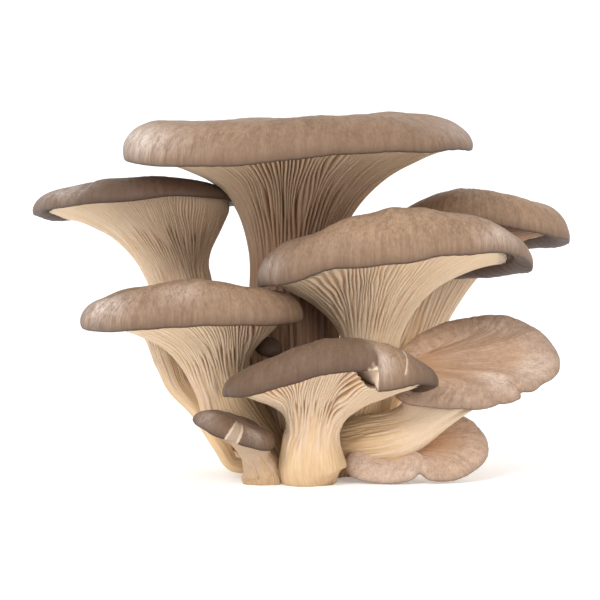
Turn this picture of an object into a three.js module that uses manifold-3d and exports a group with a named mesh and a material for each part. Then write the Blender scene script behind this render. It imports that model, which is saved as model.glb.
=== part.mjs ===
// A cluster of oyster mushrooms: overlapping caps with rolled rims, gills that run down the stems,
// and stems that grow together in one root, cut flat where the cluster was picked.
// Millimetres, +Z up. The origin is the middle of the cut root and -Y is the front.
import * as THREE from 'three';
import { mergeVertices } from 'three/addons/utils/BufferGeometryUtils.js';
import Module from 'manifold-3d';

const wasm = await Module();
wasm.setup();

// Sizes that every mushroom shares
const jointGap = 0.35; // between two bodies that touch, such as a cap and its gills
const lipHeight = 1.8; // height of the cap's inner wall above the rim's edge, where lipRise isn't given
const wallLean = 0.6; // how far that wall leans in over its height
const gillInset = 1.4; // from the inner wall to the ends of the gills, less under a tiny cap
const gillDrop = 0.8; // from the top of the inner wall down to the ends of the gills
const capTiers = [0.3, 0.62, 1]; // stations over the rolled rim, from its edge to its crest
const crownTiers = [0.3, 0.65]; // stations from the crest towards the middle of the cap
const stemTiers = [0, 0.28, 0.55]; // stations up the smooth foot of a stem
const throatTiers = [0.8, 1]; // stations up the stem where the gills run down it
const flareTiers = [0.2, 0.4, 0.56]; // stations over the narrow part of the gilled funnel
const outerTiers = [0.7, 0.85, 1]; // stations over its wide part, where short gills fill in
const tearMargin = 0.014; // in turns: how far beside a tear the gills stay low
const fewGills = 12; // up to this many, a cap has no short gills

const looks = {
  skin: { color: 0x8a7361, roughness: 0.6 },
  flesh: { color: 0xdcc5a4, roughness: 0.75 },
  root: { color: 0xc9ab80, roughness: 0.85 },
};

// Outlines are read round the middle of a cap at equal steps of 30 degrees, from the right (+X)
// by the back (+Y), the left and the front. reach: from the middle to the rim. lift: the rim's
// sharp edge above the middle. rise: the height of the rolled rim. shoulder: its width.
// lip: how far the skin turns in under the rim, and lipRise: how high. crown: the middle of the
// cap above its rim, and flesh: its thickness there. stem: points up the stem as [x, y, z, radius].
// flare: how far the gills follow the stem before they turn out. flat: the share of the way from
// the rim to the stem that they run level. sag: how far below the cap that level is. gills: how
// many run down the whole funnel, and ridge: how far they stand out.
const mushrooms = [
  {
    name: 'tall',
    middle: [-0.7, 10, 87.5],
    facing: [0, 0, 1],
    reach: [47.4, 44, 38, 36, 37, 42, 47, 45.5, 39.5, 36, 38, 44],
    lift: [0.6, 1, 0, 0, 0, -1, -2, -2.8, -2.4, -0.4, 1.1, 0.8],
    rise: [9, 8.5, 7.5, 7.5, 7.5, 8, 10.2, 11.4, 11.6, 10.7, 9.8, 9.5],
    shoulder: [17, 14, 10, 9, 9, 9, 10, 10, 9, 9, 10, 14],
    swell: 1, crown: 6.5, flesh: 6, lip: 1.4,
    stem: [[2, 9.5, 6, 8], [-2, 12, 28, 12], [-2.6, 14, 56, 11.3]],
    flare: 13, flat: [0.72, 0.68, 0.62, 0.65, 0.74, 0.86, 0.92, 0.9, 0.82, 0.72, 0.7, 0.72],
    sag: 0.9, gills: 26, ridge: 2.2,
  },
  {
    name: 'centre',
    middle: [25, -7, 59],
    facing: [0, 0, 1],
    reach: [37, 33, 22, 18, 17, 21, 34, 38, 32, 28, 30, 36],
    lift: [-2.5, -6, -7, -5, -3, -2.4, -5.4, -5.8, -0.5, 0.8, 3.2, 2.7],
    rise: [7.2, 6, 6, 8, 9, 8, 8.6, 12.6, 13.4, 14.5, 11.7, 8.9],
    shoulder: [7, 8, 8, 8, 8, 9, 9, 9, 10, 10, 10, 10],
    swell: 1, crown: 9.5, flesh: 9.5, lip: [5, 6, 5, 2, 1.4, 1.4, 1.4, 1.4, 1.4, 1.4, 1.4, 3],
    lipRise: [3.4, 4.2, 3.6, 2, 1.8, 1.8, 1.8, 1.8, 1.8, 1.8, 1.8, 2.2],
    stem: [[12, 5, 5, 6.8], [17, 2, 18, 7.2], [18.4, 1, 34, 7.4]],
    flare: 8, flat: [0.8, 0.75, 0.7, 0.65, 0.6, 0.55, 0.5, 0.55, 0.6, 0.65, 0.7, 0.75],
    sag: [2, 2, 2, 2, 2, 2, 2, 2.4, 2.6, 2.2, 2, 2], gills: 26, ridge: 2,
  },
  {
    name: 'left_middle',
    middle: [-29, -15, 43],
    facing: [0, 0, 1],
    reach: [29.5, 25, 20, 18.5, 20, 25, 29.4, 26.6, 22, 20, 22, 27.5],
    lift: [0.5, 0, 0, 0, 0, -0.5, -1.2, -1.5, -0.3, 0.5, 0.7, 0.4],
    rise: [8, 8.6, 9.5, 9.5, 9.5, 9, 7.8, 10.6, 12, 12, 11.4, 9.6],
    shoulder: [8, 8, 8, 8, 8, 8, 9, 9, 9, 9, 9, 8],
    swell: 1, crown: 8.5, flesh: 8, lip: [3, 2, 1.3, 1.3, 1.3, 1.3, 1.3, 1.3, 1.3, 1.3, 1.3, 2],
    stem: [[-6.5, -2, 3, 6], [-10.5, -4.5, 9, 6.2], [-18, -7.4, 18.5, 7.8], [-20.8, -8.8, 25.5, 7.4]],
    flare: 8, flat: [0.6, 0.65, 0.75, 0.85, 0.85, 0.85, 0.85, 0.85, 0.85, 0.8, 0.7, 0.6],
    sag: 2, gills: 22, ridge: 1.9,
  },
  {
    name: 'left_upper',
    middle: [-46, 18, 73.5],
    facing: [0, 0, 1],
    reach: [29.5, 27, 23, 22, 23, 25, 26.5, 26.2, 24.5, 24, 25.6, 28.6],
    lift: [-1.5, -3, -5, -6, -6.8, -6.6, -4.2, -2, 0, 1.2, 2.4, 1],
    rise: [4.8, 6, 7, 7.5, 7, 7, 6.9, 6.2, 6.3, 6, 5, 4.8],
    shoulder: [8, 8, 8, 8, 8, 8, 9, 8.5, 8, 8, 8, 8],
    swell: 0.8, crown: 3, flesh: 4, lip: [1.3, 1.3, 1.3, 1.3, 2.5, 3, 2.5, 1.3, 1.3, 1.3, 1.3, 1.3],
    stem: [[-9, 13, 5, 7], [-20, 16, 18, 7.8], [-28.8, 19, 35, 7.8], [-33.7, 20, 52, 8.2]],
    flare: 6, flat: [0, 0.12, 0.4, 0.6, 0.68, 0.72, 0.72, 0.72, 0.62, 0.4, 0.16, 0.02],
    sag: 1.2, gills: 20, ridge: 1.9,
  },
  {
    name: 'front',
    middle: [8.5, -25, 27.5],
    facing: [0, 0, 1],
    reach: [27.9, 24.5, 17, 15, 15.5, 20.5, 28.7, 26, 20.5, 19, 21, 25.4],
    lift: [-0.5, -4, -2, 0, 0, -2, -3.3, -2.1, 1.8, 4.5, 5.2, 4.7],
    rise: [5.6, 5.6, 6, 6.8, 7.6, 8, 7.4, 10, 10.2, 8.6, 8, 6.4],
    shoulder: [7, 7, 7, 7, 7, 8, 9, 9, 8, 8, 8, 8],
    swell: 0.8, crown: 8.2, flesh: 4.2, lip: [2.5, 2, 1.2, 1.2, 1.2, 1.2, 1.2, 1.2, 1.2, 1.2, 1.2, 1.8],
    tear: { from: 0.842, to: 0.86, drop: 5.7, setback: 1.2 },
    stem: [[5.5, -18.5, -1.5, 4.5], [3.6, -18.5, 2.5, 8.8], [3, -18.5, 9, 8.1], [3.4, -18.8, 14, 6.8]],
    flare: 6, flat: [0.55, 0.6, 0.7, 0.75, 0.8, 0.8, 0.8, 0.8, 0.75, 0.7, 0.6, 0.55],
    sag: [2, 2, 2, 2, 2, 2, 2, 2, 2.4, 3.4, 3, 2], gills: 22, ridge: 1.3,
  },
  {
    name: 'small',
    middle: [-18, -23.5, 13.6],
    facing: [0.2, -0.12, 1],
    reach: [11.5, 11, 9.5, 8.5, 8, 9, 11, 10.5, 9, 8.5, 9, 11],
    lift: [-1, -1, 0, 0.5, 1, 1.8, 2, 1.6, 0.6, 0, -0.6, -1.2],
    rise: [4.4, 4.2, 4, 4, 4, 3.5, 3.4, 4, 5, 5, 4.8, 4.6],
    shoulder: [5, 5, 4, 4, 4, 4, 5, 5, 5, 5, 5, 5],
    swell: 0.4, crown: 5, flesh: 2.8, lip: 0.8,
    stem: [[-10, -18, -2, 4.8], [-10.2, -18, 3, 5.2], [-11.6, -20.2, 7.2, 3.6]],
    flare: 1.8, flat: 0.6, sag: 0.8, gills: 10, ridge: 0.6,
  },
  {
    name: 'right_upper',
    middle: [47.3, 33, 64],
    facing: [0, 0, 1],
    reach: [27.2, 25.5, 21.5, 20, 20.5, 21, 21.5, 21, 19, 18, 19.5, 24],
    lift: [-3.4, -5.8, -7, -7, -5, -3, 0.5, 3, 4, 3.2, 2, -0.7],
    rise: [10.7, 10.6, 9.8, 9.3, 8.8, 7.3, 6.1, 6.9, 8, 9, 9.6, 10.2],
    shoulder: [10, 10, 9, 9, 10, 11, 12, 11, 10, 9, 9, 10],
    swell: 0.8, crown: 7.4, flesh: 6.4, lip: [4, 5, 4, 2, 1.3, 1.3, 1.3, 1.3, 1.3, 1.3, 1.3, 2],
    lipRise: [3.4, 4, 3.2, 2, 1.8, 1.8, 1.8, 1.8, 1.8, 1.8, 1.8, 2],
    stem: [[14, 13, 5, 6.5], [21.6, 18, 20, 7.6], [28.7, 22.5, 35, 9.1]],
    flare: 8, flat: 0.6, sag: 1.2, gills: 18, ridge: 1.7,
  },
  {
    name: 'right_fan',
    middle: [47, -6, 29.5],
    facing: [0, -0.7, 0.72],
    reach: [22.8, 21.9, 20.3, 18.2, 17.6, 19.3, 23, 22.5, 16.5, 14.2, 14, 17.2],
    lift: [-0.5, 0.5, 0, -0.5, 0, 0, -1, 0, 0.5, 0, -1, 0],
    rise: [3, 3.2, 3.2, 3.2, 3.2, 3, 2.5, 2.6, 2.8, 3, 3, 3],
    shoulder: [7, 7, 7, 7, 7, 7, 6, 6, 6, 6, 6, 7],
    swell: 0.5, crown: 2.2, flesh: 3, lip: 1.1,
    stem: [[8, -1, 8.5, 6], [14, -5.5, 9.2, 6.4], [21, -8.5, 10.4, 7]],
    flare: 16, flat: [0.72, 0.6, 0.4, 0.35, 0.35, 0.35, 0.35, 0.35, 0.35, 0.42, 0.58, 0.7],
    sag: [2.8, 2.6, 2, 2, 2, 1.6, 1.6, 2, 2.4, 2.8, 2.8, 2.8], gills: 18, ridge: 0.6,
  },
  {
    name: 'right_lower',
    middle: [32, -9, 8.7],
    facing: [0.05, -0.6, 0.8],
    reach: [18.5, 18, 15, 13, 12, 12.5, 17.5, 21.5, 17, 13.6, 14.8, 17],
    lift: [0, 0, 0, 0, 0, 0, -1, -1.3, -0.3, 0.8, 0, 0],
    rise: [3, 3, 3, 3, 3, 3, 2.5, 2.4, 2.6, 2.6, 3, 3],
    shoulder: [6, 6, 6, 6, 6, 6, 5, 5, 5, 5, 6, 6],
    swell: 0.5, crown: -0.5, flesh: 2.4, lip: 1,
    stem: [[10, 8, 4.2, 4.2], [15, 6, 4.2, 4.2], [20.5, 2, 4.6, 4.2]],
    flare: 4, flat: 0.4, sag: 2, gills: 14, ridge: 0.5,
  },
  {
    name: 'left_hidden',
    middle: [-41.6, 9, 39.2],
    facing: [0.32, 0.35, 0.87],
    reach: [8.8, 8.6, 8, 7.5, 7.5, 7.5, 7.5, 7.5, 7.5, 7.5, 8, 8.6],
    lift: 0, rise: 2.6, shoulder: 3.6, swell: 0.3, crown: 2.4, flesh: 1.8, lip: 1,
    stem: [[-11, -7, 3.4, 2], [-17.8, -9, 4, 2], [-21.3, -8, 9, 2.2], [-27.4, 0, 17.6, 2.4],
      [-32.8, 4, 24, 3.4], [-35.4, 5.8, 30, 3.8]],
    flare: 3, flat: 0.5, sag: 0.8, gills: 8, ridge: 0.8,
  },
  {
    name: 'pin_rear',
    middle: [-27.2, 8.2, 50.2],
    facing: [0, 0, 1],
    reach: 2.4, lift: 0, rise: 2.4, shoulder: 2, swell: 0.2, crown: 2.8, flesh: 1.4, lip: 0.5,
    stem: [[-6, 5, 11, 1.8], [-17, 6.5, 28, 1.7], [-26.8, 8.2, 45, 1.4]],
    flare: 1.5, flat: 0.5, sag: 0.2, gills: 6, ridge: 0.3,
  },
  {
    name: 'pin_inner',
    middle: [-8.6, -6, 34.6],
    facing: [0.2, -0.5, 1],
    reach: 3.7, lift: 0, rise: 3.2, shoulder: 3, swell: 0.3, crown: 3.6, flesh: 1.8, lip: 0.6,
    stem: [[-3, 0, 11, 2], [-4.5, -2, 20, 2], [-7.6, -4.6, 30, 2]],
    flare: 1.5, flat: 0.5, sag: 0.2, gills: 6, ridge: 0.3,
  },
];

// The root where the stems meet: half widths at the cut and at the heights above it
const rootMiddle = [0, 3];
const rootHeights = [-1, 3, 8, 12.5];
const rootReach = [19, 17, 18, 17, 16, 15, 14.5, 13, 12, 11.5, 13, 16];
const rootShare = [0.92, 1, 0.86, 0.5];
const rootTop = 14;

const away = new THREE.Vector3(0, 1, 0);

// The value at a bearing, in turns, of a list that goes once round at equal steps.
function atTurn(values, turn) {
  if (typeof values === 'number') return values;
  const count = values.length;
  const place = (turn - Math.floor(turn)) * count;
  const i = Math.floor(place) % count;
  const f = place - Math.floor(place);
  const [a, b, c, d] = [-1, 0, 1, 2].map((k) => values[(i + k + count) % count]);
  return b + 0.5 * f * (c - a + f * (2 * a - 5 * b + 4 * c - d + f * (3 * (b - c) + d - a)));
}

function smoothstep(x) {
  const t = Math.min(1, Math.max(0, x));
  return t * t * (3 - 2 * t);
}

// Two directions square to a facing: one to the right and one to the back.
function frameOf(facing) {
  const out = facing.clone().normalize();
  const back = away.clone().addScaledVector(out, -away.dot(out)).normalize();
  const right = back.clone().cross(out);
  return { out, back, right };
}

function spoke(frame, turn) {
  const angle = 2 * Math.PI * turn;
  return frame.right.clone().multiplyScalar(Math.cos(angle)).addScaledVector(frame.back, Math.sin(angle));
}

function bezier(points, t) {
  const u = 1 - t;
  const weights = [u * u * u, 3 * u * u * t, 3 * u * t * t, t * t * t];
  return points[0].map((_, axis) => weights.reduce((sum, w, k) => sum + w * points[k][axis], 0));
}

// A point and radius on a stem's line; s is 0 at its foot and 1 at the neck under the gills.
function alongStem(stem, s) {
  const last = stem.length - 1;
  const place = Math.min(Math.max(s, 0), 1) * last;
  const i = Math.min(Math.floor(place), last - 1);
  const f = place - i;
  const at = (k) => {
    if (k < 0) return stem[0].map((v, axis) => 2 * v - stem[1][axis]);
    if (k > last) return stem[last].map((v, axis) => 2 * v - stem[last - 1][axis]);
    return stem[k];
  };
  const [a, b, c, d] = [at(i - 1), at(i), at(i + 1), at(i + 2)];
  return b.map((v, axis) => v + 0.5 * f * (c[axis] - a[axis]
    + f * (2 * a[axis] - 5 * v + 4 * c[axis] - d[axis] + f * (3 * (v - c[axis]) + d[axis] - a[axis]))));
}

function stemFrame(stem, s) {
  const step = 0.02;
  const below = alongStem(stem, Math.max(0, s - step));
  const above = alongStem(stem, Math.min(1, s + step));
  return frameOf(new THREE.Vector3(above[0] - below[0], above[1] - below[1], above[2] - below[2]));
}

// The share of a tear's depth at a bearing: a sudden step at one side that heals slowly.
function torn(tear, turn) {
  if (!tear) return 0;
  const place = turn - Math.floor(turn);
  const healed = smoothstep((place - tear.to) / (1.02 - tear.to));
  return smoothstep((place - tear.from) / 0.008) * (1 - healed);
}

// The rim's sharp edge at a bearing: its distance from the cap's middle, and its height.
function rimEdge(m, turn, share = torn(m.tear, turn)) {
  const setback = m.tear ? m.tear.setback * share : 0;
  const drop = m.tear ? m.tear.drop * share : 0;
  return [atTurn(m.reach, turn) - setback, atTurn(m.lift, turn) - drop];
}

// A point of the cap given by its distance from the middle and its height.
function capPoint(m, turn, [distance, height]) {
  const frame = frameOf(new THREE.Vector3(...m.facing));
  return new THREE.Vector3(...m.middle)
    .addScaledVector(spoke(frame, turn), distance)
    .addScaledVector(frame.out, height);
}

// The height of the rolled rim: a tear lets its edge down and leaves its crest where it was.
function riseAt(m, turn) {
  return atTurn(m.rise, turn) + (m.tear ? m.tear.drop * torn(m.tear, turn) : 0);
}

function crestOf(m, turn) {
  const [distance, height] = rimEdge(m, turn);
  return [distance - atTurn(m.shoulder, turn), height + riseAt(m, turn)];
}

// The rolled rim from its edge, t = 0, out round the swell to its crest, t = 1.
function rolledRim(m, turn, t) {
  const [distance, height] = rimEdge(m, turn);
  const crest = crestOf(m, turn);
  const out = distance + m.swell * 4 / 3;
  return bezier([
    [distance, height],
    [out, height + 0.25 * riseAt(m, turn)],
    [out - 0.25 * atTurn(m.shoulder, turn), crest[1]],
    crest,
  ], t);
}

// The top of the cap from the crest, t = 0, to the middle, t = 1.
function crownLine(m, turn, t) {
  const crest = crestOf(m, turn);
  return bezier([crest, [crest[0] * 0.66, crest[1]], [crest[0] * 0.3, m.crown], [0, m.crown]], t);
}

// The inner wall of the cap, just outside the gills
function innerWall(m, turn, share) {
  const [distance, height] = rimEdge(m, turn, share);
  return [distance - atTurn(m.lip, turn) - wallLean, height + atTurn(m.lipRise ?? lipHeight, turn)];
}

// Where the gills begin under the cap; by a tear, they keep to its lower side.
function gillStart(m, turn) {
  const share = Math.max(...[-tearMargin, 0, tearMargin].map((near) => torn(m.tear, turn + near)));
  const [distance, height] = innerWall(m, turn, share);
  return [distance - Math.min(gillInset, distance / 3), height - gillDrop];
}

function ringPoint(m, s, turn) {
  const [x, y, z, radius] = alongStem(m.stem, s);
  const angle = 2 * Math.PI * turn;
  const flute = 1 + 0.05 * Math.sin(3 * angle + m.gills) + 0.03 * Math.sin(5 * angle + 2 * m.gills);
  return new THREE.Vector3(x, y, z).addScaledVector(spoke(stemFrame(m.stem, s), turn), radius * flute);
}

// The smooth funnel under the gills: v is 0 to 1 up the stem, and 1 to 2 out to the rim.
function funnelPoint(m, v, turn) {
  if (v <= 1) return ringPoint(m, v, turn);
  const neck = ringPoint(m, 1, turn);
  const { out } = frameOf(new THREE.Vector3(...m.facing));
  const [distance, height] = gillStart(m, turn);
  const level = Math.min(height, m.crown - m.flesh - jointGap) - atTurn(m.sag, turn);
  const neckHeight = neck.clone().sub(capPoint(m, 0, [0, 0])).dot(out);
  const aboveNeck = neck.clone().addScaledVector(out, level - neckHeight);
  const handles = [
    neck,
    neck.clone().addScaledVector(stemFrame(m.stem, 1).out, m.flare),
    capPoint(m, turn, [distance, level]).lerp(aboveNeck, atTurn(m.flat, turn)),
    capPoint(m, turn, [distance, height]),
  ];
  return new THREE.Vector3(...bezier(handles.map((handle) => handle.toArray()), v - 1));
}

// The outward direction of that funnel, from two steps along it and two round it.
function funnelNormal(m, v, turn) {
  const step = 0.004;
  const low = Math.min(Math.max(v, step), 2 - step);
  const up = funnelPoint(m, low + step, turn).sub(funnelPoint(m, low - step, turn));
  const round = funnelPoint(m, low, turn + step).sub(funnelPoint(m, low, turn - step));
  return round.cross(up).normalize();
}

// How far a gill stands out of the funnel. Full gills fade down the stem; short ones stay outside.
function gillHeight(m, v, short) {
  const ends = smoothstep((v - 0.55) / 0.6) * (1 - 0.7 * smoothstep((v - 1.6) / 0.4));
  return m.ridge * ends * (short ? smoothstep((v - 1.56) / 0.12) : 1);
}

// One ring of a funnel: every column is a gill or a groove, and on the widest ones every
// second gill is a short one.
function funnelRing(m, v, columnsPerGill) {
  const count = m.gills * columnsPerGill;
  return Array.from({ length: count }, (_, i) => {
    const turn = i / count;
    const point = funnelPoint(m, v, turn);
    const place = (i % columnsPerGill) / columnsPerGill;
    const isGill = place === 0 || (columnsPerGill === 4 && place === 0.5);
    return isGill ? point.addScaledVector(funnelNormal(m, v, turn), gillHeight(m, v, place === 0.5)) : point;
  });
}

// A closed skin over rings of points, from a single point at the bottom to one at the top.
// Neighbouring rings have equal counts, or one has twice the points of the other.
function skinOver(rings) {
  const positions = [];
  const index = [];
  const starts = rings.map((ring) => {
    const start = positions.length / 3;
    ring.forEach((p) => positions.push(p.x, p.y, p.z));
    return start;
  });
  for (let k = 0; k + 1 < rings.length; k++) {
    const low = (i) => starts[k] + (i % rings[k].length);
    const high = (i) => starts[k + 1] + (i % rings[k + 1].length);
    const ratio = rings[k + 1].length / rings[k].length;
    const bands = Math.max(1, Math.min(rings[k].length, rings[k + 1].length));
    for (let i = 0; i < bands; i++) {
      if (rings[k].length === 1 || rings[k + 1].length === 1) continue;
      if (ratio === 1) index.push(low(i), low(i + 1), high(i + 1), low(i), high(i + 1), high(i));
      if (ratio === 2) {
        index.push(low(i), high(2 * i + 1), high(2 * i), low(i), low(i + 1), high(2 * i + 1));
        index.push(low(i + 1), high(2 * i + 2), high(2 * i + 1));
      }
    }
    if (rings[k].length === 1) {
      for (let i = 0; i < rings[k + 1].length; i++) index.push(low(0), high(i + 1), high(i));
    } else if (rings[k + 1].length === 1) {
      for (let i = 0; i < rings[k].length; i++) index.push(low(i), low(i + 1), high(0));
    }
  }
  const geometry = new THREE.BufferGeometry();
  geometry.setAttribute('position', new THREE.Float32BufferAttribute(positions, 3));
  geometry.setIndex(index);
  return geometry;
}

// The bearings at which a cap is built, with a close pair on each side of a tear.
function capTurns(m, count) {
  const turns = Array.from({ length: count }, (_, i) => i / count);
  if (m.tear) {
    const near = Math.round(m.tear.from * count);
    turns[near] = m.tear.from;
    turns[near + 1] = m.tear.from + 0.008;
  }
  return turns;
}

function capGeometry(m) {
  const largest = Math.max(...[m.reach].flat());
  const turns = capTurns(m, largest > 24 ? 36 : largest > 10 ? 26 : 12);
  const ring = (line) => turns.map((turn) => capPoint(m, turn, line(turn)));
  const inset = (turn) => {
    const [distance, height] = rimEdge(m, turn);
    return [distance - 0.5 * atTurn(m.lip, turn), height + 0.25 * atTurn(m.lipRise ?? lipHeight, turn)];
  };
  return skinOver([
    [capPoint(m, 0, [0, m.crown - m.flesh])],
    ring((turn) => innerWall(m, turn)),
    ring(inset),
    ring((turn) => rimEdge(m, turn)),
    ...capTiers.map((t) => ring((turn) => rolledRim(m, turn, t))),
    ...crownTiers.map((t) => ring((turn) => crownLine(m, turn, t))),
    [capPoint(m, 0, [0, m.crown])],
  ]);
}

function stemGeometry(m) {
  const smooth = (s) => Array.from({ length: m.gills }, (_, i) => ringPoint(m, s, i / m.gills));
  const outerColumns = m.gills > fewGills ? 4 : 2;
  return skinOver([
    [new THREE.Vector3(...alongStem(m.stem, 0).slice(0, 3))],
    ...stemTiers.map(smooth),
    ...throatTiers.map((v) => funnelRing(m, v, 2)),
    ...flareTiers.map((t) => funnelRing(m, 1 + t, 2)),
    ...outerTiers.map((t) => funnelRing(m, 1 + t, outerColumns)),
    [capPoint(m, 0, [0, m.crown - m.flesh - jointGap])],
  ]);
}

// The room that a gilled stem needs: the skin over the tops of its gills and the joint gap.
function stemRoom(m) {
  const tiers = [...stemTiers, ...throatTiers, ...[...flareTiers, ...outerTiers].map((t) => 1 + t)];
  const ring = (v) => Array.from({ length: m.gills }, (_, i) => {
    const turn = i / m.gills;
    const extra = gillHeight(m, v, false) + jointGap;
    return funnelPoint(m, v, turn).addScaledVector(funnelNormal(m, v, turn), extra);
  });
  return skinOver([
    [new THREE.Vector3(...alongStem(m.stem, 0).slice(0, 3))],
    ...tiers.map(ring),
    [capPoint(m, 0, [0, m.crown - m.flesh])],
  ]);
}

function rootGeometry() {
  const ring = (height, share) => Array.from({ length: 28 }, (_, i) => {
    const reach = atTurn(rootReach, i / 28) * share * (1 + 0.05 * Math.sin(i * 1.9 + height));
    const angle = 2 * Math.PI * i / 28;
    const [x, y] = [reach * Math.cos(angle), reach * Math.sin(angle)];
    return new THREE.Vector3(rootMiddle[0] + x, rootMiddle[1] + y, height);
  });
  return skinOver([
    [new THREE.Vector3(...rootMiddle, rootHeights[0])],
    ...rootHeights.map((height, k) => ring(height, rootShare[k])),
    [new THREE.Vector3(...rootMiddle, rootTop)],
  ]);
}

function solidFrom(geometry) {
  const merged = mergeVertices(geometry, 1e-3);
  return new wasm.Manifold(new wasm.Mesh({
    numProp: 3,
    vertProperties: new Float32Array(merged.getAttribute('position').array),
    triVerts: new Uint32Array(merged.index.array),
  }));
}

// The same skin moved out by the joint gap
function grown(geometry) {
  const copy = geometry.clone();
  copy.computeVertexNormals();
  const position = copy.getAttribute('position');
  const normal = copy.getAttribute('normal');
  const point = new THREE.Vector3();
  const out = new THREE.Vector3();
  for (let i = 0; i < position.count; i++) {
    point.fromBufferAttribute(position, i).addScaledVector(out.fromBufferAttribute(normal, i), jointGap);
    position.setXYZ(i, point.x, point.y, point.z);
  }
  copy.deleteAttribute('normal');
  return copy;
}

// The ground that the cluster stands on, as a slab that cuts the feet flat.
function groundSolid() {
  const slab = new THREE.BoxGeometry(400, 400, 40);
  slab.translate(0, 0, -20);
  slab.deleteAttribute('normal');
  slab.deleteAttribute('uv');
  return solidFrom(slab);
}

function largestBody(solid) {
  return solid.decompose().reduce((best, body) => (body.volume() > best.volume() ? body : best));
}

function meshFrom(name, solid, { color, roughness }) {
  const { vertProperties, triVerts } = solid.getMesh();
  const geometry = new THREE.BufferGeometry();
  geometry.setAttribute('position', new THREE.BufferAttribute(new Float32Array(vertProperties), 3));
  geometry.setIndex(new THREE.BufferAttribute(new Uint32Array(triVerts), 1));
  geometry.computeVertexNormals();
  const material = new THREE.MeshStandardMaterial({ color, roughness, metalness: 0, flatShading: true });
  const mesh = new THREE.Mesh(geometry, material);
  mesh.name = name;
  return mesh;
}

// Bodies in the order in which they keep their whole shape: each one is cut clear of the room of
// those before it, as mushrooms that grow against each other are.
const order = ['front', 'small', 'left_middle', 'centre', 'tall', 'left_upper', 'right_fan', 'right_upper',
  'right_lower', 'left_hidden', 'pin_rear', 'pin_inner'];
const root = rootGeometry();
const bodies = [{ name: 'root', owner: 'root', geometry: root, room: grown(root), look: looks.root }];
for (const owner of order) {
  const m = mushrooms.find(({ name }) => name === owner);
  const cap = capGeometry(m);
  bodies.push(
    { name: `stem_${owner}`, owner, geometry: stemGeometry(m), room: stemRoom(m), look: looks.flesh },
    { name: `cap_${owner}`, owner, geometry: cap, room: grown(cap), look: looks.skin },
  );
}

const ground = groundSolid();
const cluster = new THREE.Group();
const rooms = [];
for (const body of bodies) {
  let solid = solidFrom(body.geometry).subtract(ground);
  for (const { owner, room } of rooms) {
    if (owner !== body.owner && solid.intersect(room).volume() > 0) solid = solid.subtract(room);
  }
  rooms.push({ owner: body.owner, room: solidFrom(body.room) });
  cluster.add(meshFrom(body.name, largestBody(solid), body.look));
}

export default cluster;
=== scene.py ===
# A cluster of oyster mushrooms on a pale floor, in soft studio light. Every mushroom is two
# pieces: a brown cap, and the cream flesh whose gills run down into its stem. Lengths in the
# tables are millimetres; the scene is in metres, with -Y to the front.
import math

import bmesh
import bpy
import numpy as np
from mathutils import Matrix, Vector


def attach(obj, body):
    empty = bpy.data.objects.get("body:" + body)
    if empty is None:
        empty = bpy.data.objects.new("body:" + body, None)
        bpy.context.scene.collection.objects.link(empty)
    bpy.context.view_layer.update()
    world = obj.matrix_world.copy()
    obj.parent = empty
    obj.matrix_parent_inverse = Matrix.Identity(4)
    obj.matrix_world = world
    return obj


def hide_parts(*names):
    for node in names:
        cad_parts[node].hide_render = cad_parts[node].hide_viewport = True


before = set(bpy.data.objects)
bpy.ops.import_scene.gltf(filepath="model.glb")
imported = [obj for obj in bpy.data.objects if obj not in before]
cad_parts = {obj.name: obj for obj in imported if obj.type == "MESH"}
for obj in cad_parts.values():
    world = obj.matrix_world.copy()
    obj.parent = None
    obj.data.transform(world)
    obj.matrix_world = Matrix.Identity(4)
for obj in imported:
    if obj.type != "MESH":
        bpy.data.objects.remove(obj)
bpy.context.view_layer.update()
print("frame loaded", flush=True)

metre = 0.001  # one millimetre, in metres
jointGap = 0.35  # between a cap and the gills under it
lipHeight = 1.8  # how high the skin turns up inside the rim
wallLean = 0.6  # how far the inner wall leans in
gillInset = 1.4  # from that wall in to where the gills begin
gillDrop = 0.8  # and from its top down
tearStep = 0.008  # the turn over which a torn rim drops
tearMargin = 0.05  # the turn over which the gills beside it come down
tearHealed = 1.02  # the bearing by which a tear has closed again
fullReach = 30  # caps that reach this far have waves of full height
turnAround = 2 * math.pi


# Curves and outlines

def unit(vectors):
    return vectors / np.maximum(np.linalg.norm(vectors, axis=-1, keepdims=True), 1e-9)


# An outward direction, and two directions square to it: to the right and to the back.
def frameOf(facing):
    out = unit(np.asarray(facing, float))
    back = unit(np.array([0.0, 1.0, 0.0]) - out * out[..., 1:2])
    return out, back, np.cross(back, out)


def spoke(back, right, turn):
    angle = turnAround * np.asarray(turn)[..., None]
    return right * np.cos(angle) + back * np.sin(angle)


# A smooth curve through b and c, with a before them and d after; f goes from 0 at b to 1 at c.
def between(a, b, c, d, f):
    return b + 0.5 * f * (c - a + f * (2 * a - 5 * b + 4 * c - d + f * (3 * (b - c) + d - a)))


# The value at each bearing, in turns, of a list that goes once round at equal steps.
def atTurn(values, turn):
    turn = np.asarray(turn, float)
    if np.isscalar(values):
        return np.full(turn.shape, float(values))
    values = np.asarray(values, float)
    count = len(values)
    place = (turn % 1) * count
    first = np.floor(place).astype(int)
    return between(*(values[(first + k) % count] for k in (-1, 0, 1, 2)), place - first)


# 1 at a bearing, falling away within a width to each side
def nearTurn(turn, at, width):
    return np.exp(-(((turn - at + 0.5) % 1 - 0.5) / width) ** 2)


def smoothstep(x):
    t = np.clip(x, 0, 1)
    return t * t * (3 - 2 * t)


def bezier(points, t):
    t = np.asarray(t, float)
    u = 1 - t
    weights = (u * u * u, 3 * u * u * t, 3 * u * t * t, t * t * t)
    return sum(w * p for w, p in zip(weights, points))


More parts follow.
